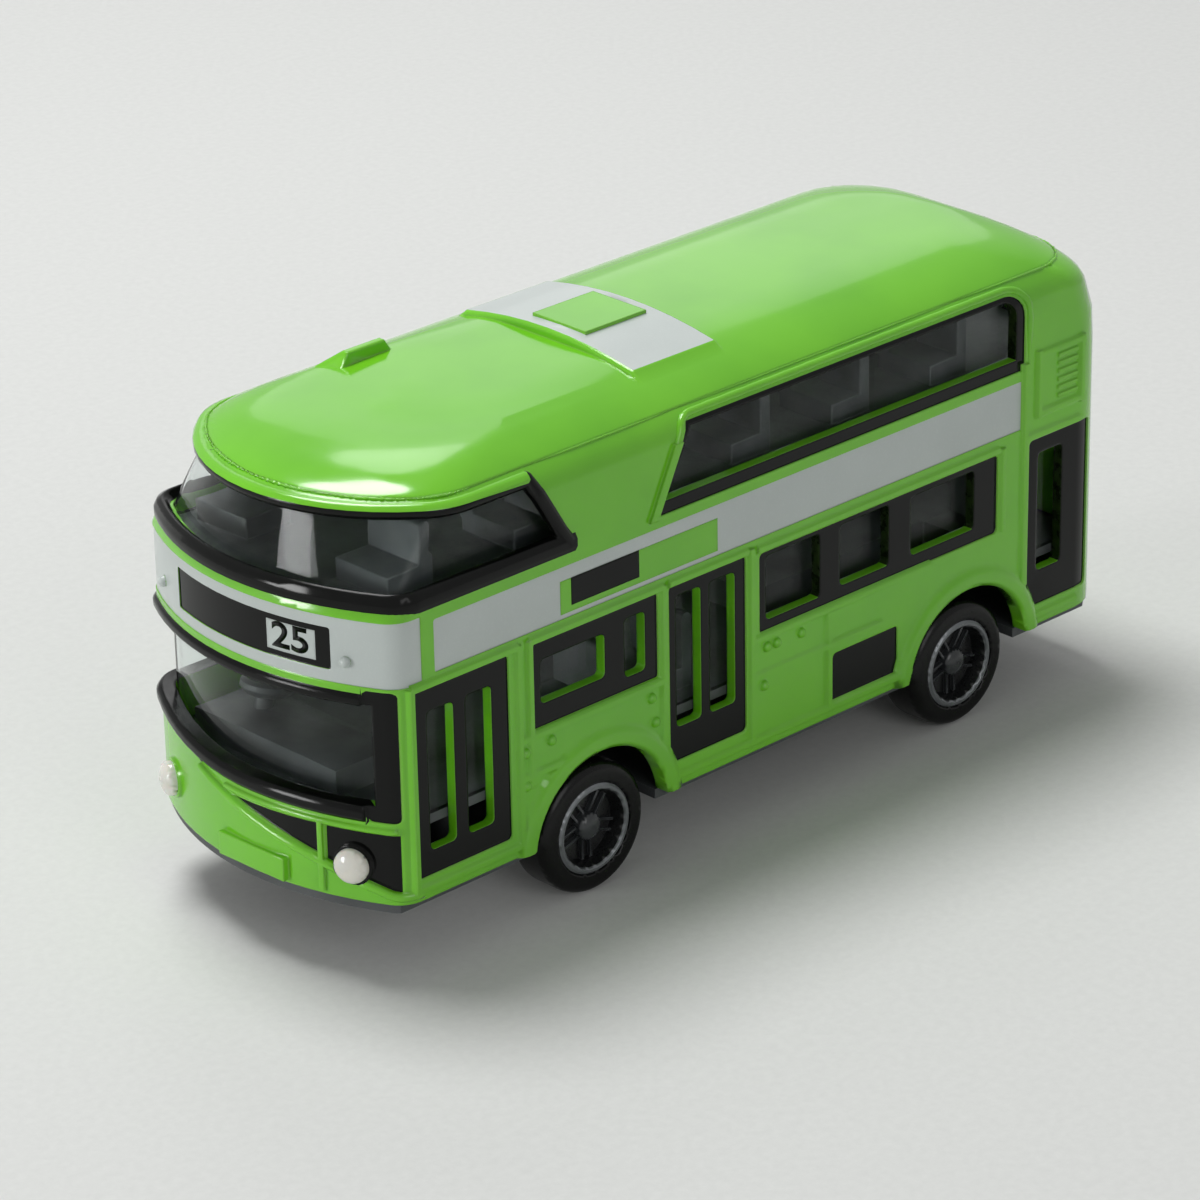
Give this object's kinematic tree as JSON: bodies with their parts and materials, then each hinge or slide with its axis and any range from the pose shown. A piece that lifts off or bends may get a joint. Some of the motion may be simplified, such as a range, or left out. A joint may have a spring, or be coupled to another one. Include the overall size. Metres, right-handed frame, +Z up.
{
  "type": "toy bus",
  "caption": "Die-cast toy double-deck bus with a bowed front, wrap-round windscreens, spoked wheels with rubber tyres and a pull-back motor; rolls on its wheels.",
  "frame": {"origin": "on the ground under the middle of the bus", "axes": "+X to the front, +Y to the side with the doors, +Z up"},
  "size_m": [0.1237, 0.0434, 0.0602],
  "materials": {
    "body_paint": "gloss lime green lacquer on a zinc casting, with black and pale printed panels",
    "glazing": "clear polystyrene moulding",
    "interior": "grey moulded plastic",
    "base": "dark grey moulded plastic",
    "steel": "bright steel",
    "lamp": "gloss off-white plastic",
    "hub": "dark grey plastic with a bright rim",
    "tyre": "black rubber",
    "motor": "black moulded plastic",
    "gear": "natural acetal"
  },
  "bodies": {
    "body": {"body_shell": "body_paint", "roof": "body_paint", "upper_glazing": "glazing", "lower_glazing": "glazing", "upper_deck": "interior", "lower_interior": "interior", "chassis": "base", "chassis_screws": "steel", "headlamp_left": "lamp", "headlamp_right": "lamp", "motor_case_left": "motor", "motor_case_right": "motor", "idler_pin": "steel", "drum_pin": "steel"},
    "front_wheels": {"front_axle": "steel", "hub_front_left": "hub", "hub_front_right": "hub", "tyre_front_left": "tyre", "tyre_front_right": "tyre"},
    "rear_wheels": {"rear_axle": "steel", "hub_rear_left": "hub", "hub_rear_right": "hub", "tyre_rear_left": "tyre", "tyre_rear_right": "tyre", "axle_gear": "gear"},
    "idler": {"idler_gear": "gear"},
    "drum": {"spring_drum": "gear", "mainspring": "steel"}
  },
  "joints": [
    {"name": "front_axle_spin", "type": "hinge", "parent": "body", "child": "front_wheels", "pos_m": [0.026, 0, 0.008], "axis": [0, 1, 0], "continuous": true},
    {"name": "rear_axle_spin", "type": "hinge", "parent": "body", "child": "rear_wheels", "pos_m": [-0.0354, 0, 0.008], "axis": [0, 1, 0], "continuous": true},
    {"name": "idler_spin", "type": "hinge", "parent": "body", "child": "idler", "pos_m": [-0.02821, 0, 0.01151], "axis": [0, 1, 0], "continuous": true},
    {"name": "drum_spin", "type": "hinge", "parent": "body", "child": "drum", "pos_m": [-0.02031, 0, 0.01276], "axis": [0, 1, 0], "continuous": true}
  ],
  "couplings": [
    {"joint": "idler_spin", "follows": "rear_axle_spin", "ratio": -0.45455},
    {"joint": "drum_spin", "follows": "rear_axle_spin", "ratio": 0.15152}
  ]
}
